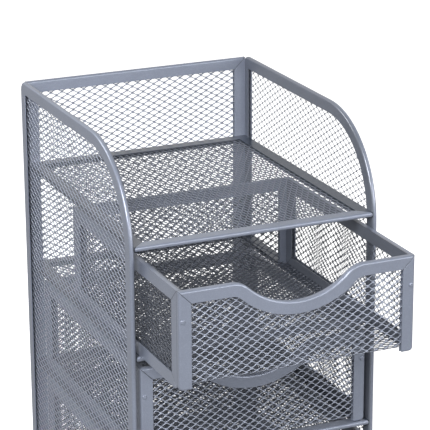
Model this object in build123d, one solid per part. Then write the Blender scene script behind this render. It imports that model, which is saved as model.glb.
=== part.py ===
from build123d import *
import os
from math import hypot

# A desktop set of three mini drawers under an open tray, all in painted steel mesh.
# Every mesh panel is held in a folded steel strip. Millimetres, +Z up, drawer fronts
# face -Y and +X is the viewer's right. The solids are drawn about the middle of the
# cabinet and written with the origin under the middle of the whole object as it stands,
# with its top drawer part open.

# ---- driving dimensions ----
cabinet_width = 125.0
cabinet_depth = 146.0
strip_width = 6.0            # how wide a folded edge strip looks on its panel
strip_thickness = 2.4        # how thick the folded strip is
strip_round = 1.0            # rounding of a strip's outer edges
strip_wall = 0.45            # sheet that the strip is folded from
fold_inset = 1.2             # from a strip's outer edge to the inside of its fold
mesh_thickness = 0.8

pad_height = 2.0             # rubber pads under the base
pad_length = 12.0
pad_width = 5.0
pad_from_corner = 9.0

drawer_count = 3
shelf_pitch = 53.0           # from one shelf to the next
wall_above_tray = 42.7       # side walls, above the tray's surface
back_below_side = 0.6        # the back panel stops this far below the side walls
front_curve_radius = 48.0    # the side walls sweep down to the front
back_corner_radius = 5.0
foot_corner_radius = 1.5

drawer_width = 116.0
drawer_depth = 131.0
drawer_height = 46.4
drawer_clearance = 0.15      # between a drawer and the shelf that carries it
drawer_set_back = 1.0        # a closed drawer's front, behind the cabinet's front edge
top_drawer_open = 46.0       # the top drawer stands open by this much
drawer_foot_radius = 3.0     # lower corners of the drawer's side frames
post_foot_radius = 2.0       # lower outer corners of the drawer's front strip

scoop_half_width = 32.4      # from the middle to where the front's edge starts to dip
scoop_depth = 12.8
scoop_shoulder_radius = 12.0

weld_radius = 1.1            # small weld bumps on the drawer's front corners
weld_height = 0.5
weld_below_top = 14.0
weld_from_side = 1.8

cabinet_gap_width = 22.0     # diamond gaps of the cabinet's nets, centre to centre
cabinet_gap_height = 12.0
drawer_gap_width = 18.0
drawer_gap_height = 12.0
strand_width = 1.3
net_border = 0.6             # plain steel left between the gaps and the edge strips

# ---- worked out from them ----
inner_half_width = cabinet_width / 2 - strip_thickness
half_depth = cabinet_depth / 2
base_underside = pad_height
base_top = base_underside + strip_thickness
tray_top = base_top + drawer_count * shelf_pitch
side_top = tray_top + wall_above_tray
back_top = side_top - back_below_side
shelf_depth = cabinet_depth - strip_thickness
shelf_middle_y = -strip_thickness / 2
mesh_tuck = strip_width - fold_inset        # how far a mesh panel goes into its strip
mesh_start = (strip_thickness - mesh_thickness) / 2
fold_width = strip_thickness - 2 * strip_wall
half_drawer = drawer_width / 2
drawer_inner_half = half_drawer - strip_thickness
closed_front_y = -half_depth + drawer_set_back

# The scoop is one large arc tangent to two shoulder arcs: with the shoulders' centres
# scoop_half_width from the middle, tangency fixes the sum of the two radii.
scoop_radius_sum = (scoop_half_width**2 + scoop_depth**2) / (2 * scoop_depth)
scoop_radius = scoop_radius_sum - scoop_shoulder_radius

# From the drawing's middle to the whole object's middle, with the top drawer open.
front_most_y = closed_front_y - top_drawer_open - weld_height
frame_shift = -(half_depth + front_most_y) / 2


def write(node, *solids):
    """Write one node's solids to its own STEP file, in the object's frame."""
    placed = [Pos(0, frame_shift, 0) * solid for solid in solids]
    shape = placed[0] if len(placed) == 1 else Compound(children=placed)
    shape.label = node
    export_step(shape, f"parts/{node}.step")


def polygon(points):
    """A flat face with straight sides, in the local XY plane."""
    return Face(Wire.make_polygon([Vector(*point) for point in points], close=True))


def plate(half_width, low, high):
    """An upright rectangle from low to high, centred across."""
    return polygon([(-half_width, low), (half_width, low), (half_width, high), (-half_width, high)])


def slab(face, plane, start, thickness):
    """Carry a local face to a plane and give it thickness, from start along the normal."""
    return plane * Pos(0, 0, start) * extrude(face, thickness, dir=(0, 0, 1))


def clip(tips, axis, limit, side):
    """The part of a polygon with side * coordinate below side * limit."""
    kept = []
    for here, there in zip(tips, tips[1:] + tips[:1]):
        here_in = side * here[axis] < side * limit
        there_in = side * there[axis] < side * limit
        if here_in:
            kept.append(here)
        if here_in != there_in:
            share = (limit - here[axis]) / (there[axis] - here[axis])
            kept.append(tuple(a + share * (b - a) for a, b in zip(here, there)))
    return kept


def net(outline, half_width, low, high, gap_width, gap_height, is_inside=None):
    """One flat face with diamond gaps that fill the window half_width, low, high.

    The gaps stand on a staggered lattice stretched to fit the window a whole number of
    times, so those on its edges are cut in half. Where is_inside is given, a gap with a
    tip outside is left out.
    """
    columns = round(2 * half_width / gap_width)
    rows = round((high - low) / gap_height)
    width = 2 * half_width / columns
    height = (high - low) / rows
    half_w = width / 2 - strand_width * hypot(width, height) / (2 * height)
    half_h = height / 2 - strand_width * hypot(width, height) / (2 * width)
    gaps = []
    for column in range(2 * columns + 1):
        for row in range(1 - column % 2, 2 * rows + 1, 2):
            u = -half_width + column * width / 2
            v = low + row * height / 2
            tips = [(u + half_w, v), (u, v + half_h), (u - half_w, v), (u, v - half_h)]
            tips = clip(tips, 0, half_width - net_border, 1)
            tips = clip(tips, 0, net_border - half_width, -1)
            tips = clip(tips, 1, high - net_border, 1)
            tips = clip(tips, 1, low + net_border, -1)
            if is_inside is None or all(is_inside(*tip) for tip in tips):
                gaps.append(Wire.make_polygon([Vector(*tip) for tip in tips], close=True))
    return Face(outline.outer_wire(), gaps)


def box_net(half_width, low, high, tuck_sides, tuck_low, tuck_high, gap_width, gap_height):
    """A rectangular net that reaches past its window, into the strips round it."""
    outline = plate(half_width + tuck_sides, low - tuck_low, high + tuck_high)
    return net(outline, half_width, low, high, gap_width, gap_height)


def mitred_strips(half_width, low, high):
    """Four strips with 45 degree corners, named by side, as local faces."""
    inner = half_width - strip_width
    inner_low = low + strip_width
    inner_high = high - strip_width
    return {
        "low": polygon([(-half_width, low), (half_width, low), (inner, inner_low), (-inner, inner_low)]),
        "high": polygon([(-half_width, high), (half_width, high), (inner, inner_high), (-inner, inner_high)]),
        "left": polygon([(-half_width, low), (-half_width, high), (-inner, inner_high), (-inner, inner_low)]),
        "right": polygon([(half_width, low), (half_width, high), (inner, inner_high), (inner, inner_low)]),
    }


def fold(face, plane, start=0.0):
    """The space inside folded strips, which is cut from them: the mesh stands in its middle."""
    return slab(face, plane, start + strip_wall, fold_width)


# ---- cabinet: side walls ----

def side_outline(inset):
    """The side wall seen from the side (local x is depth, local y is height), drawn in by inset."""
    half = half_depth - inset
    low = base_underside + inset
    high = side_top - inset
    corners = plate(half, low, high)
    radii = {
        (-1, 1): front_curve_radius - inset,
        (1, 1): max(back_corner_radius - inset, 0.8),
        (1, -1): max(foot_corner_radius - inset, 0.3),
        (-1, -1): max(foot_corner_radius - inset, 0.3),
    }
    middle = (low + high) / 2
    for (across, upward), radius in radii.items():
        for vertex in corners.vertices():
            if (vertex.X * across > half - 0.01) and ((vertex.Y - middle) * upward > (high - low) / 2 - 0.01):
                corners = corners.fillet_2d(radius, [vertex])
                break
    return corners


def make_side(node_side, side):
    """One side wall: the folded strip all the way round, and the net inside its fold."""
    plane = Plane.YZ
    start = inner_half_width if side > 0 else -cabinet_width / 2
    ring = slab(side_outline(0) - side_outline(strip_width), plane, start, strip_thickness)
    rim_edges = [edge for edge in ring.edges() if is_on_rim(edge)]
    ring = fillet(rim_edges, strip_round)
    ring = ring - fold(side_outline(fold_inset), plane, start)

    curve_y = -half_depth + front_curve_radius
    curve_z = side_top - front_curve_radius
    clear_radius = front_curve_radius - strip_width - net_border

    def is_inside(u, v):
        in_corner = u < curve_y and v > curve_z
        return not in_corner or hypot(u - curve_y, v - curve_z) < clear_radius

    face = net(
        side_outline(fold_inset), half_depth - strip_width, base_underside + strip_width,
        side_top - strip_width, cabinet_gap_width, cabinet_gap_height, is_inside,
    )
    write(f"side_strip_{node_side}", ring)
    write(f"side_mesh_{node_side}", slab(face, plane, start + mesh_start, mesh_thickness))


def is_on_rim(edge):
    """Whether a strip's edge runs along the outer outline of the side wall, on either face."""
    if abs(edge.position_at(0).X - edge.position_at(1).X) > 0.01:
        return False
    point = edge.position_at(0.5)
    curve_y = -half_depth + front_curve_radius
    curve_z = side_top - front_curve_radius
    if point.Y < curve_y and point.Z > curve_z:
        return hypot(point.Y - curve_y, point.Z - curve_z) > front_curve_radius - 0.1
    near_side = min(half_depth - abs(point.Y), side_top - point.Z, point.Z - base_underside)
    return near_side < back_corner_radius - strip_width / 2


# ---- cabinet: back panel ----

def make_back():
    """The back panel: a net in four mitred strips, between the side walls."""
    plane = Plane(origin=(0, half_depth, 0), x_dir=(1, 0, 0), z_dir=(0, -1, 0))
    middle = (base_underside + back_top) / 2
    half_height = (back_top - base_underside) / 2
    flip = Pos(0, middle, 0)
    strips = mitred_strips(inner_half_width, -half_height, half_height)
    inside = plate(inner_half_width - fold_inset, -half_height + fold_inset, half_height - fold_inset)
    inside = fold(flip * inside, plane)
    for name, face in strips.items():
        strip = slab(flip * face, plane, 0, strip_thickness)
        if name == "high":
            top_edges = strip.edges().filter_by(Axis.X).group_by(Axis.Z)[-1]
            strip = fillet(top_edges, strip_round)
        place = {"low": "bottom", "high": "top"}.get(name, name)
        write(f"back_strip_{place}", strip - inside)
    face = box_net(
        inner_half_width - strip_width, -half_height + strip_width, half_height - strip_width,
        mesh_tuck, mesh_tuck, mesh_tuck, cabinet_gap_width, cabinet_gap_height,
    )
    write("back_mesh", slab(flip * face, plane, mesh_start, mesh_thickness))


# ---- cabinet: tray floor, dividers and base, which are one kind of shelf ----

def make_shelf(name, top):
    """A level net in a mitred frame, whose front strip has rounded edges."""
    plane = Plane(origin=(0, shelf_middle_y, top - strip_thickness))
    strips = mitred_strips(inner_half_width, -shelf_depth / 2, shelf_depth / 2)
    inside = plate(inner_half_width - fold_inset, -shelf_depth / 2 + fold_inset, shelf_depth / 2 - fold_inset)
    inside = fold(inside, plane)
    front = slab(strips["low"], plane, 0, strip_thickness)
    front = fillet(front.edges().filter_by(Axis.X).group_by(Axis.Y)[0], strip_round)
    write(f"{name}_front_strip", front - inside)
    rest = [slab(strips[side], plane, 0, strip_thickness) for side in ("left", "high", "right")]
    write(f"{name}_frame", rest[0] + rest[1] + rest[2] - inside)
    face = box_net(
        inner_half_width - strip_width, -shelf_depth / 2 + strip_width, shelf_depth / 2 - strip_width,
        mesh_tuck, mesh_tuck, mesh_tuck, cabinet_gap_width, cabinet_gap_height,
    )
    write(f"{name}_mesh", slab(face, plane, mesh_start, mesh_thickness))


def make_pads():
    """Four rubber pads under the base frame, near its corners."""
    pads = []
    for side in (-1, 1):
        for end in (-1, 1):
            x = side * (inner_half_width - strip_width / 2)
            y = end * (half_depth - pad_from_corner)
            pad = Pos(x, y, pad_height / 2) * Box(pad_width, pad_length, pad_height)
            pads.append(fillet(pad.edges().filter_by(Axis.Z), pad_width / 4))
    write("foot_pads", *pads)


# ---- drawers ----

def scooped_outline(inset, low):
    """The drawer's front seen from the front, with its dipped top edge, drawn in by inset.

    The top edge runs level, turns down over a shoulder arc, follows the scoop's large arc
    and comes back up. Drawing in keeps the arcs' centres and changes their radii.
    """
    half = half_drawer - inset
    high = drawer_height - inset
    shoulder = scoop_shoulder_radius - inset
    shoulder_z = drawer_height - scoop_shoulder_radius
    scoop_centre_z = drawer_height - scoop_depth + scoop_radius
    sine = scoop_half_width / scoop_radius_sum
    cosine = (scoop_centre_z - shoulder_z) / scoop_radius_sum
    meet_x = scoop_half_width - shoulder * sine
    meet_z = shoulder_z + shoulder * cosine
    bottom_z = drawer_height - scoop_depth - inset
    half_sine = ((1 - cosine) / 2) ** 0.5
    half_cosine = ((1 + cosine) / 2) ** 0.5
    over_x = scoop_half_width - shoulder * half_sine
    over_z = shoulder_z + shoulder * half_cosine
    edges = [
        Line((-half, low), (half, low)),
        Line((half, low), (half, high)),
        Line((half, high), (scoop_half_width, high)),
        ThreePointArc((scoop_half_width, high), (over_x, over_z), (meet_x, meet_z)),
        ThreePointArc((meet_x, meet_z), (0, bottom_z), (-meet_x, meet_z)),
        ThreePointArc((-meet_x, meet_z), (-over_x, over_z), (-scoop_half_width, high)),
        Line((-scoop_half_width, high), (-half, high)),
        Line((-half, high), (-half, low)),
    ]
    return Face(Wire(edges))


def below_scoop(u, v, inset):
    """Whether a point of the front lies below the dipped edge drawn in by inset."""
    shoulder_z = drawer_height - scoop_shoulder_radius
    scoop_centre_z = drawer_height - scoop_depth + scoop_radius
    meet_x = scoop_half_width - (scoop_shoulder_radius - inset) * scoop_half_width / scoop_radius_sum
    if abs(u) >= scoop_half_width:
        return v < drawer_height - inset
    if abs(u) > meet_x:
        near_shoulder = hypot(abs(u) - scoop_half_width, v - shoulder_z) < scoop_shoulder_radius - inset
        return v < shoulder_z or near_shoulder
    return hypot(u, v - scoop_centre_z) > scoop_radius + inset


def make_drawer(name, open_by, shelf_top):
    """One drawer, standing open by open_by on the shelf whose surface is at shelf_top."""
    bottom = shelf_top + drawer_clearance
    front_y = closed_front_y - open_by
    back_y = front_y + drawer_depth
    middle_y = (front_y + back_y) / 2
    floor_top = mesh_start + mesh_thickness
    facing = Plane(origin=(0, front_y + strip_thickness, bottom), x_dir=(1, 0, 0), z_dir=(0, -1, 0))
    rear = Plane(origin=(0, back_y, bottom), x_dir=(1, 0, 0), z_dir=(0, -1, 0))

    # front: a strip over the top and down both sides, open below
    window = scooped_outline(strip_width, -strip_width)
    outline = scooped_outline(0, 0)
    feet = [vertex for vertex in outline.vertices() if vertex.Y < 0.01]
    outline = outline.fillet_2d(post_foot_radius, feet)
    rim = slab(outline - window, facing, 0, strip_thickness)
    outer_face = rim.faces().sort_by(Axis.Y)[0]
    rim_edges = [edge for edge in outer_face.edges() if not is_front_window_edge(edge, bottom)]
    rim = fillet(rim_edges, strip_round)
    write(f"{name}_front_strip", rim - fold(scooped_outline(fold_inset, -strip_width), facing))

    def is_inside(u, v):
        return below_scoop(u, v, strip_width + net_border / 2)

    face = net(
        scooped_outline(fold_inset, floor_top), half_drawer - strip_width, floor_top,
        drawer_height - strip_width, drawer_gap_width, drawer_gap_height, is_inside,
    )
    write(f"{name}_front_mesh", slab(face, facing, mesh_start, mesh_thickness))

    # back: the same, with a straight top
    outer = plate(half_drawer, 0, drawer_height)
    inner = plate(half_drawer - strip_width, -strip_width, drawer_height - strip_width)
    frame = slab(outer - inner, rear, 0, strip_thickness)
    inside = plate(half_drawer - fold_inset, -strip_width, drawer_height - fold_inset)
    write(f"{name}_back_strip", frame - fold(inside, rear))
    face = box_net(
        half_drawer - strip_width, floor_top, drawer_height - strip_width,
        mesh_tuck, 0, mesh_tuck, drawer_gap_width, drawer_gap_height,
    )
    write(f"{name}_back_mesh", slab(face, rear, mesh_start, mesh_thickness))

    # sides: a closed frame each, between the front and the back
    half_side = drawer_depth / 2 - strip_thickness
    outer = plate(half_side, 0, drawer_height)
    feet = [vertex for vertex in outer.vertices() if vertex.Y < 0.01]
    outer = outer.fillet_2d(drawer_foot_radius, feet)
    inner = plate(half_side - strip_width, strip_width, drawer_height - strip_width)
    inside = plate(half_side - fold_inset, fold_inset, drawer_height - fold_inset)
    for side_name, start in (("left", -half_drawer), ("right", drawer_inner_half)):
        plane = Plane(origin=(start, middle_y, bottom), x_dir=(0, 1, 0), z_dir=(1, 0, 0))
        frame = slab(outer - inner, plane, 0, strip_thickness)
        write(f"{name}_{side_name}_strip", frame - fold(inside, plane))
        face = box_net(
            half_side - strip_width, strip_width, drawer_height - strip_width,
            mesh_tuck, mesh_tuck, mesh_tuck, drawer_gap_width, drawer_gap_height,
        )
        write(f"{name}_{side_name}_mesh", slab(face, plane, mesh_start, mesh_thickness))

    # floor, between the side frames: its ends run under the front and back nets
    floor = Plane(origin=(0, middle_y, bottom))
    half_floor = drawer_depth / 2 - strip_thickness
    face = box_net(
        drawer_inner_half, -half_floor, half_floor, 0, 0, 0, drawer_gap_width, drawer_gap_height,
    )
    sheet = slab(face, floor, mesh_start, mesh_thickness)
    tongue_length = strip_thickness - mesh_start
    tongue_half = half_drawer - strip_width
    for end in (-1, 1):
        tongue = Box(2 * tongue_half, tongue_length, mesh_thickness)
        y = end * (half_floor + tongue_length / 2)
        sheet = sheet + floor * Pos(0, y, mesh_start + mesh_thickness / 2) * tongue
    write(f"{name}_floor_mesh", sheet)

    # a weld bump on each front corner
    bumps = []
    for side in (-1, 1):
        bump = extrude(Circle(weld_radius), weld_height)
        bump = fillet(bump.edges().group_by(Axis.Z)[-1], weld_height * 0.8)
        x = side * (half_drawer - weld_from_side)
        bumps.append(facing * Pos(x, drawer_height - weld_below_top, strip_thickness) * bump)
    write(f"{name}_weld_bumps", *bumps)


def is_front_window_edge(edge, bottom):
    """Whether an edge of the front strip borders the window or the open foot."""
    point = edge.position_at(0.5)
    if point.Z < bottom + 0.01:
        return True
    if abs(point.X) > half_drawer - strip_width / 2:
        return False
    return below_scoop(point.X, point.Z - bottom, strip_width / 2)


def main():
    os.makedirs("parts", exist_ok=True)
    make_side("left", -1)
    make_side("right", 1)
    make_back()
    make_shelf("base", base_top)
    make_shelf("lower_divider", base_top + shelf_pitch)
    make_shelf("upper_divider", base_top + 2 * shelf_pitch)
    make_shelf("tray", tray_top)
    make_pads()
    make_drawer("bottom_drawer", 0.0, base_top)
    make_drawer("middle_drawer", 0.0, base_top + shelf_pitch)
    make_drawer("top_drawer", top_drawer_open, base_top + 2 * shelf_pitch)
    print("cabinet", cabinet_width, "x", cabinet_depth, "x", side_top, "mm")


main()
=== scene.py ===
"""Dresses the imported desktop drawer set: expanded steel sheets in painted, folded steel strips."""
from math import cos, pi, radians, sin

import bpy
import numpy as np
from mathutils import Matrix, Vector


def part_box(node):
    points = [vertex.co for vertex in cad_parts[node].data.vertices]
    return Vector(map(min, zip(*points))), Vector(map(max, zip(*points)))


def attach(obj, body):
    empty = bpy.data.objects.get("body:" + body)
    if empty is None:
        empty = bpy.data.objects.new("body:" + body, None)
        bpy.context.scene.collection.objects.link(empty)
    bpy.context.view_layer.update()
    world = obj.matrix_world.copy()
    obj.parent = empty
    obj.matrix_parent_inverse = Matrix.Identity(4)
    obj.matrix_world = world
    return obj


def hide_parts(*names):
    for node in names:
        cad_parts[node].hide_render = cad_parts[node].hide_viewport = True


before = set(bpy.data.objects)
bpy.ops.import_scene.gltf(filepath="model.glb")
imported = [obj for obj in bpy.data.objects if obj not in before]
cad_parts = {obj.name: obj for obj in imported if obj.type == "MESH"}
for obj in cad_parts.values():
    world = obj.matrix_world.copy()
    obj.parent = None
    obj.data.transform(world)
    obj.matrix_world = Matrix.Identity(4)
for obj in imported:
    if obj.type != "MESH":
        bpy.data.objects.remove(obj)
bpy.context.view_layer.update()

MM = 0.001

# ---- sizes in metres, as in the solids ----
STRIP_THICKNESS = 2.4 * MM
FRONT_CURVE_RADIUS = 48.0 * MM
BACK_CORNER_RADIUS = 5.0 * MM
HALF_DRAWER = 58.0 * MM
DRAWER_HEIGHT = 46.4 * MM
SCOOP_HALF_WIDTH = 32.4 * MM
SCOOP_DEPTH = 12.8 * MM
SCOOP_SHOULDER_RADIUS = 12.0 * MM
SHEET_BEND_RADIUS = 2.5 * MM      # where a drawer's sheet turns from front to floor to back
SHEET_MARGIN = 1.9 * MM           # from a strip's outer edge to the sheet's cut edge in its fold
SHEET_SHIFT = 0.45 * MM           # from the middle of a fold to its lip

# ---- expanded steel: long and short way of the diamonds, a strand's width and thickness, ----
# ---- and how far a bond's middle swells, as shares of that width and thickness            ----
CABINET_MESH = {
    "long": 5.88 * MM, "short": 3.38 * MM,
    "strand": 0.64 * MM, "thickness": 0.25 * MM, "swell": (1.15, 2.0),
}
SIDE_MESH = {
    "left": {**CABINET_MESH, "strand": 0.57 * MM},
    "right": {**CABINET_MESH, "strand": 0.45 * MM, "thickness": 0.22 * MM, "swell": (1.4, 3.4)},
}
DRAWER_MESH = {**CABINET_MESH, "long": 5.0 * MM, "short": 3.5 * MM, "strand": 0.6 * MM}
DRAWER_SIDE_MESH = {
    "left": DRAWER_MESH,
    "right": {**DRAWER_MESH, "strand": 0.5 * MM, "swell": (1.3, 2.6)},
}
BOND_HALF = 0.5 * MM              # half a bond's length
STRAND_TILT = radians(32)         # how far a strand's width leans out of its sheet
SIDE_TILT = {"left": radians(30), "right": radians(-12)}
SIDE_SKEW = {"left": (0.028, 0.04), "right": (-0.028, -0.055)}  # slopes of rows and columns

# Painted shade on a sheet's inner and outer ridges, as the share of full colour over the dark shaded
# colour: 0 is all shade, 1 is full colour.
RIDGE_LIGHT = (0.0, 1.0)
SIDE_RIDGE_LIGHT = {"left": (0.0, 0.9), "right": (0.25, 1.0)}
BACK_RIDGE_LIGHT = (0.65, 0.65)
SHELF_RIDGE_LIGHT = (0.4, 0.5)
DRAWER_SIDE_RIDGE_LIGHT = (0.0, 0.3)

DRAWERS = ("bottom_drawer", "middle_drawer", "top_drawer")
SHELVES = ("base", "lower_divider", "upper_divider", "tray")

# ---- colours, linear ----
STRIP_COLOUR = (0.268, 0.299, 0.38)
SHADED_STRIP_COLOUR = (0.17, 0.187, 0.228)  # painted shade on a strip's inner face
SHEET_COLOUR = (0.385, 0.423, 0.52)
SHADED_SHEET_COLOUR = (0.08, 0.09, 0.115)   # painted shade on a sheet's inner ridges
# Painted shade: the shelves' frames are the strip paint darkened.
SHADED_SHELF_COLOUR = (0.12, 0.135, 0.17)
SHADE_COLOUR = (0.05, 0.065, 0.095)        # of a shelf's frame beside the right wall
RUBBER_COLOUR = (0.035, 0.036, 0.04)

# ---- paint ----
CLOUD_SIZE, BLOTCH_SIZE, FLAKE_SIZE, PEEL_SIZE = 35 * MM, 4 * MM, 0.35 * MM, 0.9 * MM
CLOUD_SHARE, BLOTCH_SHARE, FLAKE_SHARE = 0.55, 0.2, 0.25  # of the wander in colour
DARKEST, LIGHTEST = 0.84, 1.2                             # ends of that wander
CLOUD_HEIGHT, PEEL_HEIGHT, GROOVE_DEPTH = 0.25 * MM, 0.012 * MM, 0.2 * MM
MITRE_EDGES = (0.05 * MM, 0.3 * MM)  # distances from a mitre's middle where its groove fades
SEAM_EDGES = (0.05 * MM, 0.35 * MM)
GROOVE_SHARE, GROOVE_LEVEL = 0.8, 0.14
ROUGHNESS, FLAKE_GLOSS, BLOTCH_MATT = 0.34, 0.08, 0.06
COAT = {"Coat Weight": 0.6, "Coat Roughness": 0.14}
STRIP_METAL, SHEET_METAL = 0.4, 0.3


# ---- shader writing ----

class Signal:
    """A socket whose value changes over a surface; arithmetic on it adds Math nodes."""

    def __init__(self, finish, socket):
        self.finish = finish
        self.socket = socket

    def _do(self, operation, first, second):
        return self.finish.add("ShaderNodeMath", {"operation": operation}, {0: first, 1: second})

    def __add__(self, other):
        return self._do("ADD", self, other)

    __radd__ = __add__

    def __sub__(self, other):
        return self._do("SUBTRACT", self, other)

    def __rsub__(self, other):
        return self._do("SUBTRACT", other, self)

    def __mul__(self, other):
        return self._do("MULTIPLY", self, other)

    __rmul__ = __mul__

    def __abs__(self):
        return self._do("ABSOLUTE", self, 0.0)

    def least(self, other):
        return self._do("MINIMUM", self, other)

    def most(self, other):
        return self._do("MAXIMUM", self, other)

    def ease(self, low, high):
        """0 below low and 1 above high, with a smooth step between."""
        return self.finish.add(
            "ShaderNodeMapRange", {"interpolation_type": "SMOOTHSTEP"},
            {"Value": self, "From Min": low, "From Max": high},
        )


class Finish:
    """One node material, or the world, and the single method that adds its nodes."""

    def __init__(self, name, owner=None):
        self.owner = owner or bpy.data.materials.new(name)
        self.owner.use_nodes = True
        self.tree = self.owner.node_tree
        self.tree.nodes.clear()

    def add(self, kind, settings=None, values=None, out=0):
        """Adds a node, sets its settings first, then its sockets, and returns an output."""
        node = self.tree.nodes.new(kind)
        for key, value in (settings or {}).items():
            setattr(node, key, value)
        for key, value in (values or {}).items():
            if isinstance(value, Signal):
                self.tree.links.new(value.socket, node.inputs[key])
            else:
                node.inputs[key].default_value = value
        outputs = node.outputs
        return Signal(self, outputs[out]) if len(outputs) else None

    def place(self):
        """Object coordinates, as a vector and as its three parts."""
        here = self.add("ShaderNodeTexCoord", out="Object")
        return here, [self.add("ShaderNodeSeparateXYZ", None, {0: here}, out=i) for i in range(3)]

    def noise(self, here, size, detail=2.0):
        """Smooth noise from 0 to 1 whose lumps are about size across."""
        return self.add(
            "ShaderNodeTexNoise", None, {"Vector": here, "Scale": 1 / size, "Detail": detail},
            out="Fac",
        )

    def blend(self, share, first, second):
        """A colour between first and second."""
        return self.add(
            "ShaderNodeMix", {"data_type": "RGBA"}, {0: share, 6: first, 7: second}, out=2,
        )

    def relief(self, height):
        """A normal bent by a height in metres."""
        return self.add(
            "ShaderNodeBump", None, {"Strength": 1.0, "Distance": 1.0, "Height": height},
        )

    def reflected(self):
        """1 for a ray that comes from a glossy or a clear surface, else 0."""
        glossy = self.add("ShaderNodeLightPath", out="Is Glossy Ray")
        return glossy.most(self.add("ShaderNodeLightPath", out="Is Transmission Ray"))


def rgba(colour, level=1.0):
    return (*(min(part * level, 1.0) for part in colour), 1.0)


def to_edge(parts, span):
    """Distance to the nearer end of an (axis, low, high) span."""
    axis, low, high = span
    return (parts[axis] - low).least(high - parts[axis])


def paint(name, colour, lines=None, seam=None, metal=STRIP_METAL, inner=None, outside=None):
    """Silver-grey metallic paint, baked on thinly over steel.

    Colour wanders in broad soft clouds, and fine flakes lighten and gloss single specks of it.
    lines gives mitred corners as two (axis, low, high) spans: the groove lies where the
    distances to the two nearest edges are equal. seam is such a span, with a dark seam at both
    its ends. inner is a darker colour of painted shade, and outside(finish, parts) gives the
    share, from 0 to 1, of the full colour over that painted shade.
    """
    finish = Finish(name)
    here, parts = finish.place()
    clouds = finish.noise(here, CLOUD_SIZE)
    blotch = finish.noise(here, BLOTCH_SIZE, 3.0)
    flakes = finish.add(
        "ShaderNodeTexVoronoi", None, {"Vector": here, "Scale": 1 / FLAKE_SIZE}, out="Color",
    )
    flake = finish.add("ShaderNodeSeparateColor", None, {0: flakes}).ease(0.55, 1.0)
    wander = clouds * CLOUD_SHARE + blotch * BLOTCH_SHARE + flake * FLAKE_SHARE
    colour_now = finish.blend(wander, rgba(colour, DARKEST), rgba(colour, LIGHTEST))
    # Painted shade: the darker inner colour shows where outside is low.
    if inner:
        colour_now = finish.blend(outside(finish, parts), rgba(inner), colour_now)
    groove = None
    if lines:
        first, second = (to_edge(parts, line) for line in lines)
        groove = 1 - abs(first - second).ease(*MITRE_EDGES)
    if seam:
        dark = 1 - to_edge(parts, seam).ease(*SEAM_EDGES)
        groove = groove.most(dark) if groove else dark
    height = finish.noise(here, PEEL_SIZE, 1.0) * PEEL_HEIGHT + clouds * CLOUD_HEIGHT
    if groove:
        colour_now = finish.blend(groove * GROOVE_SHARE, colour_now, rgba(colour, GROOVE_LEVEL))
        height = height - groove * GROOVE_DEPTH
    shader = finish.add(
        "ShaderNodeBsdfPrincipled", None,
        {
            "Base Color": colour_now, "Metallic": metal, "Normal": finish.relief(height),
            "Roughness": ROUGHNESS - flake * FLAKE_GLOSS + blotch * BLOTCH_MATT, **COAT,
        },
    )
    finish.add("ShaderNodeOutputMaterial", None, {"Surface": shader})
    return finish.owner


def outer_ridge(finish, _):
    """1 on a strand's outer ridge and 0 on its inner one, which gets painted shade, from the piece's
    own attribute.
    """
    ridge = finish.add(
        "ShaderNodeAttribute", {"attribute_type": "GEOMETRY", "attribute_name": "outside"},
        out="Fac",
    )
    return ridge.ease(0.2, 0.8)


def outer_face(inner_x):
    """For a strip on either side: 0 on the face at inner_x from the plane x = 0, where painted shade
    goes, 1 outside it.
    """
    return lambda _, parts: abs(parts[0]).ease(inner_x + 0.2 * MM, inner_x + 1.4 * MM)


def left_of(x):
    """1 to the left of x and 0 to its right."""
    return lambda _, parts: 1 - parts[0].ease(x, x + 1.5 * MM)


def rubber(name, colour):
    """Matt black rubber: a faint bloom in broad clouds over a fine pebbled skin."""
    finish = Finish(name)
    here, _ = finish.place()
    bloom = finish.noise(here, 3 * MM)
    skin = finish.noise(here, 0.4 * MM, 1.0)
    shader = finish.add(
        "ShaderNodeBsdfPrincipled", None,
        {
            "Base Color": finish.blend(bloom, rgba(colour, 0.7), rgba(colour, 1.5)),
            "Roughness": bloom * 0.15 + 0.65, "Normal": finish.relief(skin * (0.03 * MM)),
        },
    )
    finish.add("ShaderNodeOutputMaterial", None, {"Surface": shader})
    return finish.owner


# ---- expanded steel ----

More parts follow.
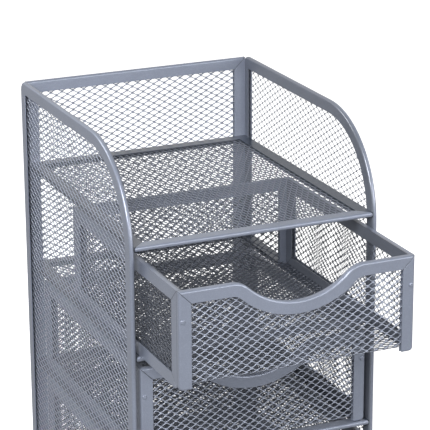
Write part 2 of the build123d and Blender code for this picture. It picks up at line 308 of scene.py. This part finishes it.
def expanded(u_span, v_span, sheet, keep, skew=(0.0, 0.0), tilt=STRAND_TILT, ridge_light=RIDGE_LIGHT):
    """Zig-zag strands of expanded steel over a flat u, v region, with n out of the sheet.

    Row k is one ribbon along u. At every half pitch it lies for a bond's length against the row
    below or the row above by turns, and slopes straight between. A bond on line j is centred at
    v = j times half the short way; the ribbon above it is shifted by half a strand width along
    the strand's own width, and the one below it by as much the other way. The width leans by
    tilt about u: width = cos(tilt) v - sin(tilt) n, thickness = sin(tilt) v + cos(tilt) n.
    The cross-section is a flat rhombus, swollen at the middle of a bond. tilt is one angle or a
    function of v. skew gives the slope of the rows and the lean of the columns, as a share of u
    and of v. keep(u, v) says which cross-sections stay, and points that no face uses are
    dropped. Returns points (u, v, n), outward quads, and each point's outside: the share of
    full colour over painted shade, which goes from ridge_light's first value on a strand's inner
    ridge to its second on the outer.
    """
    half_long, half_short, strand = sheet["long"] / 2, sheet["short"] / 2, sheet["strand"]
    columns = np.arange(np.floor(u_span[0] / half_long), np.ceil(u_span[1] / half_long) + 1)
    rows = np.arange(np.floor(v_span[0] / half_short), np.ceil(v_span[1] / half_short))
    row, column, end = np.meshgrid(rows, columns, (-1.0, 0.0, 1.0), indexing="ij")
    on_lower = (row + column) % 2 == 0
    lean = np.where(on_lower, 1.0, -1.0) * strand / 2
    line = (row + np.where(on_lower, 0, 1)) * half_short
    angle = tilt(line) if callable(tilt) else np.full(line.shape, tilt)
    u = column * half_long + end * BOND_HALF + line * skew[1]
    v = line + lean * np.cos(angle) + u * skew[0]
    n = -lean * np.sin(angle)
    wide, thick = (np.where(end == 0, swell, 1.0) for swell in sheet["swell"])
    u, v, n, angle, wide, thick = (
        part.reshape(len(rows), -1) for part in (u, v, n, angle, wide, thick)
    )
    across = np.array((-1, 0, 1, 0)) * strand / 2 * wide[..., None]
    through = np.array((0, -1, 0, 1)) * sheet["thickness"] / 2 * thick[..., None]
    cosine, sine = np.cos(angle)[..., None], np.sin(angle)[..., None]
    points = np.stack((
        u[..., None] + 0 * across,
        v[..., None] + across * cosine + through * sine,
        n[..., None] - across * sine + through * cosine,
    ), axis=-1)
    kept = keep(u, v)
    runs = kept[:, :-1] & kept[:, 1:]
    none = np.zeros((len(rows), 1), bool)
    starts = runs & ~np.hstack((none, runs[:, :-1]))
    ends = runs & ~np.hstack((runs[:, 1:], none))
    around = np.arange(4)
    turn = (around + 1) % 4
    first = np.arange(u.size).reshape(u.shape)[:, :-1] * 4
    base = first[runs][:, None]
    sides = np.stack((base + around, base + turn, base + 4 + turn, base + 4 + around), -1)
    caps_low = first[starts][:, None] + around[::-1]
    caps_high = first[ends][:, None] + 4 + around
    faces = np.vstack([part.reshape(-1, 4) for part in (sides, caps_low, caps_high)])
    used, numbers = np.unique(faces, return_inverse=True)
    # Painted shade: each point's share of full colour, from the inner ridge to the outer.
    inner, outer = ridge_light
    edge = (inner + outer) / 2
    outside = np.array((edge, inner, edge, outer))[used % 4]
    return points.reshape(-1, 3)[used], numbers.reshape(faces.shape), outside


def on_plane(points, origin, u_axis, v_axis):
    """Flat map: origin + u times u_axis + v times v_axis + n times their cross product."""
    axes = np.array((u_axis, v_axis, np.cross(u_axis, v_axis)), float)
    return np.array(origin) + points @ axes


def along_drawer(points, back_y, front_y, top_z, floor_z):
    """Folded map for a drawer's sheet: v runs down the back, forward under the load, up the front.

    Each straight run and each bend takes its own share of v. A point moves down by the back's
    share, round a quarter turn, forward by the floor's share, round a second quarter turn and up
    by the rest; n is laid along the normal, which turns with the bends and always points out.
    """
    u, v, n = points.T
    radius = SHEET_BEND_RADIUS
    wall = top_z - floor_z - radius
    floor = back_y - front_y - 2 * radius
    quarter = radius * pi / 2
    down = np.minimum(v, wall)
    first_turn = np.clip(v - wall, 0, quarter) / radius
    forward = np.clip(v - wall - quarter, 0, floor)
    second_turn = np.clip(v - wall - quarter - floor, 0, quarter) / radius
    up = np.maximum(v - wall - 2 * quarter - floor, 0)
    y = back_y - radius * (1 - np.cos(first_turn)) - forward - radius * np.sin(second_turn)
    z = top_z - down - radius * np.sin(first_turn) + radius * (1 - np.cos(second_turn)) + up
    angle = first_turn + second_turn
    return np.stack((u, y + n * np.cos(angle), z - n * np.sin(angle)), -1)


def make_piece(name, points, faces, outside, material, body, *nodes):
    """A mesh object at the origin that rides on a body and stands for CAD nodes."""
    mesh = bpy.data.meshes.new(name)
    mesh.from_pydata(points, [], faces)
    mesh.shade_smooth()
    mesh.attributes.new("outside", "FLOAT", "POINT").data.foreach_set("value", outside)
    mesh.materials.append(material)
    piece = bpy.data.objects.new(name, mesh)
    bpy.context.scene.collection.objects.link(piece)
    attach(piece, body)
    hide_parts(*nodes)


def middle(node):
    low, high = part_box(node)
    return (np.array(low) + np.array(high)) / 2


def within(half_u, half_v, margin):
    """A keep test for a plain rectangle about the middle, drawn in by margin."""
    return lambda u, v: (np.abs(u) < half_u - margin) & (np.abs(v) < half_v - margin)


def make_side_sheet(side, sign, material):
    """A side wall's sheet: a rectangle whose front top corner is a large arc, back top a small one.

    sign is -1 on the left and 1 on the right.
    """
    strip_low, strip_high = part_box(f"side_strip_{side}")
    half_y = (strip_high.y - strip_low.y) / 2
    half_z = (strip_high.z - strip_low.z) / 2

    def keep(u, v):
        to_back = u * sign
        inside = within(half_y, half_z, SHEET_MARGIN)(u, v)
        for radius, reach in ((FRONT_CURVE_RADIUS, -to_back), (BACK_CORNER_RADIUS, to_back)):
            past_y = reach - (half_y - radius)
            past_z = v - (half_z - radius)
            round_ok = np.hypot(past_y, past_z) < radius - SHEET_MARGIN
            inside &= (past_y < 0) | (past_z < 0) | round_ok
        return inside

    spare_u, spare_v = 10 * MM, 5 * MM  # skewed rows have to start and end outside the sheet
    points, faces, outside = expanded(
        (-half_y - spare_u, half_y + spare_u), (-half_z - spare_v, half_z + spare_v),
        SIDE_MESH[side], keep, skew=SIDE_SKEW[side], tilt=SIDE_TILT[side], ridge_light=SIDE_RIDGE_LIGHT[side],
    )
    origin = middle(f"side_strip_{side}") - (sign * SHEET_SHIFT / 3, 0, 0)
    placed = on_plane(points, origin, (0, sign, 0), (0, 0, 1))
    make_piece(
        f"side_sheet_{side}", placed, faces, outside, material, "cabinet", f"side_mesh_{side}",
    )


def make_flat_sheet(
    name, body, node, sheet, u_axis, v_axis, material,
    tilt=STRAND_TILT, shift=-SHEET_SHIFT, ridge_light=RIDGE_LIGHT,
):
    """A flat rectangular sheet in the place of a net node: u and v run along two world axes.

    shift moves it along its own normal, from the middle of the folds to one of their lips.
    """
    low, high = (np.array(corner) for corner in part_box(node))
    half = (high - low) / 2
    half_u = abs(half @ np.array(u_axis))
    half_v = abs(half @ np.array(v_axis))
    margin = SHEET_MARGIN - STRIP_THICKNESS / 2
    points, faces, outside = expanded(
        (-half_u, half_u), (-half_v, half_v), sheet, within(half_u, half_v, margin),
        tilt=tilt, ridge_light=ridge_light,
    )
    placed = on_plane(points + (0, 0, shift), (low + high) / 2, u_axis, v_axis)
    make_piece(name, placed, faces, outside, material, body, node)


def make_drawer_sheet(name, material):
    """A drawer's folded sheet: one strip of expanded steel is its back, floor, scooped front."""
    front = middle(f"{name}_front_mesh")[1]
    back = middle(f"{name}_back_mesh")[1]
    floor_z = middle(f"{name}_floor_mesh")[2]
    bottom_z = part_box(f"{name}_front_strip")[0].z
    top_z = bottom_z + DRAWER_HEIGHT - SHEET_MARGIN
    radius_sum = (SCOOP_HALF_WIDTH**2 + SCOOP_DEPTH**2) / (2 * SCOOP_DEPTH)
    scoop_radius = radius_sum - SCOOP_SHOULDER_RADIUS
    wall = top_z - floor_z - SHEET_BEND_RADIUS
    length = 2 * wall + SHEET_BEND_RADIUS * pi + back - front - 2 * SHEET_BEND_RADIUS
    half_width = HALF_DRAWER - STRIP_THICKNESS

    def keep(u, v):
        """Across the whole width, but on the front only below the dipped edge."""
        height = DRAWER_HEIGHT - SHEET_MARGIN - (length - v)
        shoulder_z = DRAWER_HEIGHT - SCOOP_SHOULDER_RADIUS
        centre_z = DRAWER_HEIGHT - SCOOP_DEPTH + scoop_radius
        shoulder = SCOOP_SHOULDER_RADIUS - SHEET_MARGIN
        meet = SCOOP_HALF_WIDTH - shoulder * SCOOP_HALF_WIDTH / radius_sum
        beside = np.abs(u) >= SCOOP_HALF_WIDTH
        round_shoulder = np.hypot(np.abs(u) - SCOOP_HALF_WIDTH, height - shoulder_z) < shoulder
        under_shoulder = round_shoulder | (height < shoulder_z)
        under_arc = np.hypot(u, height - centre_z) > scoop_radius + SHEET_MARGIN
        below = beside | np.where(np.abs(u) > meet, under_shoulder, under_arc)
        on_front = v > length - wall
        return (np.abs(u) < half_width) & (v > 0) & (v < length) & (below | ~on_front)

    bends = (wall, wall + SHEET_BEND_RADIUS * pi / 2)
    stations = (*bends, length - bends[1], length - bends[0])
    tilts = (STRAND_TILT, -STRAND_TILT, -STRAND_TILT, STRAND_TILT)
    points, faces, outside = expanded(
        (-half_width, half_width), (0, length), DRAWER_MESH, keep,
        tilt=lambda v: np.interp(v, stations, tilts),
    )
    placed = along_drawer(points - (0, 0, SHEET_SHIFT), back, front, top_z, floor_z)
    make_piece(
        f"{name}_sheet", placed, faces, outside, material, name,
        f"{name}_front_mesh", f"{name}_floor_mesh", f"{name}_back_mesh",
    )


def make_sheets():
    # The sheets' inner ridges get painted shade.
    sheet_paint = paint(
        "sheet_paint", SHEET_COLOUR, metal=SHEET_METAL, inner=SHADED_SHEET_COLOUR,
        outside=outer_ridge,
    )
    make_side_sheet("left", -1, sheet_paint)
    make_side_sheet("right", 1, sheet_paint)
    make_flat_sheet(
        "back_sheet", "cabinet", "back_mesh", CABINET_MESH, (-1, 0, 0), (0, 0, 1), sheet_paint,
        tilt=-STRAND_TILT, ridge_light=BACK_RIDGE_LIGHT,
    )
    for shelf in SHELVES:
        make_flat_sheet(
            f"{shelf}_sheet", "cabinet", f"{shelf}_mesh", CABINET_MESH, (0, 1, 0), (-1, 0, 0),
            sheet_paint, shift=SHEET_SHIFT, ridge_light=SHELF_RIDGE_LIGHT,
        )
    for drawer in DRAWERS:
        make_drawer_sheet(drawer, sheet_paint)
        for side, along in (("left", (0, -1, 0)), ("right", (0, 1, 0))):
            make_flat_sheet(
                f"{drawer}_{side}_sheet", drawer, f"{drawer}_{side}_mesh", DRAWER_SIDE_MESH[side],
                along, (0, 0, 1), sheet_paint, tilt=SIDE_TILT[side], ridge_light=DRAWER_SIDE_RIDGE_LIGHT,
            )


# ---- finishes of the CAD nodes that stay ----

def wear(node, material):
    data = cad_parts[node].data
    data.materials.clear()
    data.materials.append(material)


def span(axis, first_node, last_node=None):
    """An (axis, low, high) span from the low side of one node to the high side of another."""
    return axis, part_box(first_node)[0][axis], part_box(last_node or first_node)[1][axis]


def dress_cabinet():
    # The side strips' inner faces get painted shade.
    side = paint(
        "side_strip_paint", STRIP_COLOUR, inner=SHADED_STRIP_COLOUR,
        outside=outer_face(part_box("side_strip_right")[0].x),
    )
    for hand in ("left", "right"):
        wear(f"side_strip_{hand}", side)
    back_lines = [span(0, "back_strip_top"), span(2, "back_strip_left")]
    back = paint("back_strip_paint", STRIP_COLOUR, lines=back_lines)
    for part in ("top", "bottom", "left", "right"):
        wear(f"back_strip_{part}", back)
    across = span(0, "tray_front_strip")
    shelf_lines = [across, span(1, "tray_front_strip", "tray_frame")]
    # Painted shade: each shelf frame's right leg, beside the right wall, turns to SHADE_COLOUR.
    right_leg = across[2] - 8 * MM
    shelf = paint("shelf_strip_paint", STRIP_COLOUR, lines=shelf_lines)
    shelf_frame = paint(
        "shelf_frame_shaded_paint", SHADED_SHELF_COLOUR, lines=shelf_lines, inner=SHADE_COLOUR,
        outside=left_of(right_leg),
    )
    for name in SHELVES:
        wear(f"{name}_front_strip", shelf)
        wear(f"{name}_frame", shelf_frame)
    wear("foot_pads", rubber("pad_rubber", RUBBER_COLOUR))


def dress_drawers():
    weld = paint("weld_paint", STRIP_COLOUR)
    for drawer in DRAWERS:
        axis, low, high = span(2, f"{drawer}_front_strip")
        far_below = low - 1.0  # the front strip has no mitres at its lower ends
        front = paint(
            f"{drawer}_front_paint", STRIP_COLOUR,
            lines=[span(0, f"{drawer}_front_strip"), (axis, far_below, high)],
        )
        side_lines = [span(axis, f"{drawer}_left_strip") for axis in (1, 2)]
        # The drawer side strips' inner faces get painted shade.
        side = paint(
            f"{drawer}_side_paint", STRIP_COLOUR, lines=side_lines, seam=side_lines[0],
            inner=SHADED_STRIP_COLOUR, outside=outer_face(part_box(f"{drawer}_right_strip")[0].x),
        )
        wear(f"{drawer}_front_strip", front)
        wear(f"{drawer}_back_strip", front)
        wear(f"{drawer}_weld_bumps", weld)
        for hand in ("left", "right"):
            wear(f"{drawer}_{hand}_strip", side)


# ---- studio ----

PHOTO_WIDTH = 430          # pixels
FOCAL_LENGTH = 2121        # in those pixels
SENSOR_WIDTH = 36.0        # millimetres
CAMERA_DISTANCE = 1.044
CAMERA_TARGET = Vector((11.4, 22.75, 146.9)) * MM
LAMP_DISTANCE = 1.3
LAMP_TARGET = Vector((0, 0, 0.12))
WHITE = (1, 1, 1, 1)
LAMPS = (
    # name, direction from the object, width, height, radiance
    ("key_lamp", (-0.5, -0.55, 0.5), 0.7, 0.7, 14.0),
    ("front_lamp", (0.36, -0.85, 0.2), 1.5, 0.4, 4.3),
    ("left_lamp", (-0.6, 0.49, 0.34), 0.4, 0.4, 9.0),
    ("right_lamp", (0.8, -0.4, 0.45), 0.5, 0.9, 2.0),
)


def make_camera():
    """The photograph's view: 23.8 degrees to the left of the front, 18.4 above it."""
    azimuth, elevation, roll = radians(23.79), radians(18.38), radians(-0.31)
    back = Vector((-sin(azimuth) * cos(elevation), -cos(azimuth) * cos(elevation), sin(elevation)))
    level = (-back).cross(Vector((0, 0, 1))).normalized()
    upright = level.cross(-back)
    right = cos(roll) * level + sin(roll) * upright
    up = cos(roll) * upright - sin(roll) * level
    place = CAMERA_TARGET + back * CAMERA_DISTANCE
    data = bpy.data.cameras.new("camera")
    data.sensor_width = SENSOR_WIDTH
    data.lens = FOCAL_LENGTH / PHOTO_WIDTH * SENSOR_WIDTH
    data.clip_start, data.clip_end = 0.05, 50.0
    camera = bpy.data.objects.new("camera", data)
    rows = [[right[i], up[i], back[i], place[i]] for i in range(3)]
    camera.matrix_world = Matrix(rows + [[0, 0, 0, 1]])
    bpy.context.scene.collection.objects.link(camera)
    bpy.context.scene.camera = camera


def make_lamp(name, towards, width, height, radiance):
    """A rectangular lamp that looks at the object; its power is radiance times pi times area."""
    data = bpy.data.lights.new(name, "AREA")
    data.shape = "RECTANGLE"
    data.size, data.size_y = width, height
    data.energy = radiance * pi * width * height
    lamp = bpy.data.objects.new(name, data)
    lamp.location = LAMP_TARGET + Vector(towards).normalized() * LAMP_DISTANCE
    lamp.rotation_euler = (LAMP_TARGET - lamp.location).to_track_quat("-Z", "Y").to_euler()
    bpy.context.scene.collection.objects.link(lamp)


def make_sky():
    """White where the camera sees it, dim as light, and in gloss brighter towards the back."""
    world = bpy.data.worlds.new("studio")
    bpy.context.scene.world = world
    sky = Finish("studio", world)
    towards = sky.add("ShaderNodeTexCoord", out="Generated")
    backward = sky.add("ShaderNodeSeparateXYZ", None, {0: towards}, out=1)
    in_gloss = sky.reflected() * (backward.ease(-0.1, 0.6) * 0.55 + 0.15)
    level = sky.add("ShaderNodeLightPath", out="Is Camera Ray").most(in_gloss).most(0.05)
    light = sky.add("ShaderNodeBackground", None, {"Color": WHITE, "Strength": level})
    sky.add("ShaderNodeOutputWorld", None, {"Surface": light})


def make_floor():
    """A plain white floor that takes the object's shadow, and throws little light back at it.

    To the camera it is white paint with a glow of its own, in gloss a mid grey, and to all
    other rays a dark matt surface.
    """
    ground = Finish("floor_white")
    seen_paint = ground.add("ShaderNodeBsdfDiffuse", None, {"Color": (0.8, 0.8, 0.8, 1)})
    dull = ground.add("ShaderNodeBsdfDiffuse", None, {"Color": (0.1, 0.1, 0.1, 1)})
    glow = ground.add("ShaderNodeEmission", None, {"Color": WHITE, "Strength": 0.92})
    in_gloss = ground.add("ShaderNodeEmission", None, {"Color": WHITE, "Strength": 0.4})
    bright = ground.add("ShaderNodeAddShader", None, {0: seen_paint, 1: glow})
    by_camera = ground.add("ShaderNodeLightPath", out="Is Camera Ray")
    seen = ground.add("ShaderNodeMixShader", None, {0: by_camera, 1: dull, 2: bright})
    mixed = ground.add("ShaderNodeMixShader", None, {0: ground.reflected(), 1: seen, 2: in_gloss})
    ground.add("ShaderNodeOutputMaterial", None, {"Surface": mixed})
    reach = 12.0
    corners = [(-reach, -reach, 0), (reach, -reach, 0), (reach, reach, 0), (-reach, reach, 0)]
    mesh = bpy.data.meshes.new("floor")
    mesh.from_pydata(corners, [], [(0, 1, 2, 3)])
    mesh.materials.append(ground.owner)
    floor = bpy.data.objects.new("floor", mesh)
    bpy.context.scene.collection.objects.link(floor)


bpy.context.scene.view_settings.view_transform = "Standard"
make_camera()
make_sheets()
dress_cabinet()
dress_drawers()
make_sky()
make_floor()
for lamp in LAMPS:
    make_lamp(*lamp)
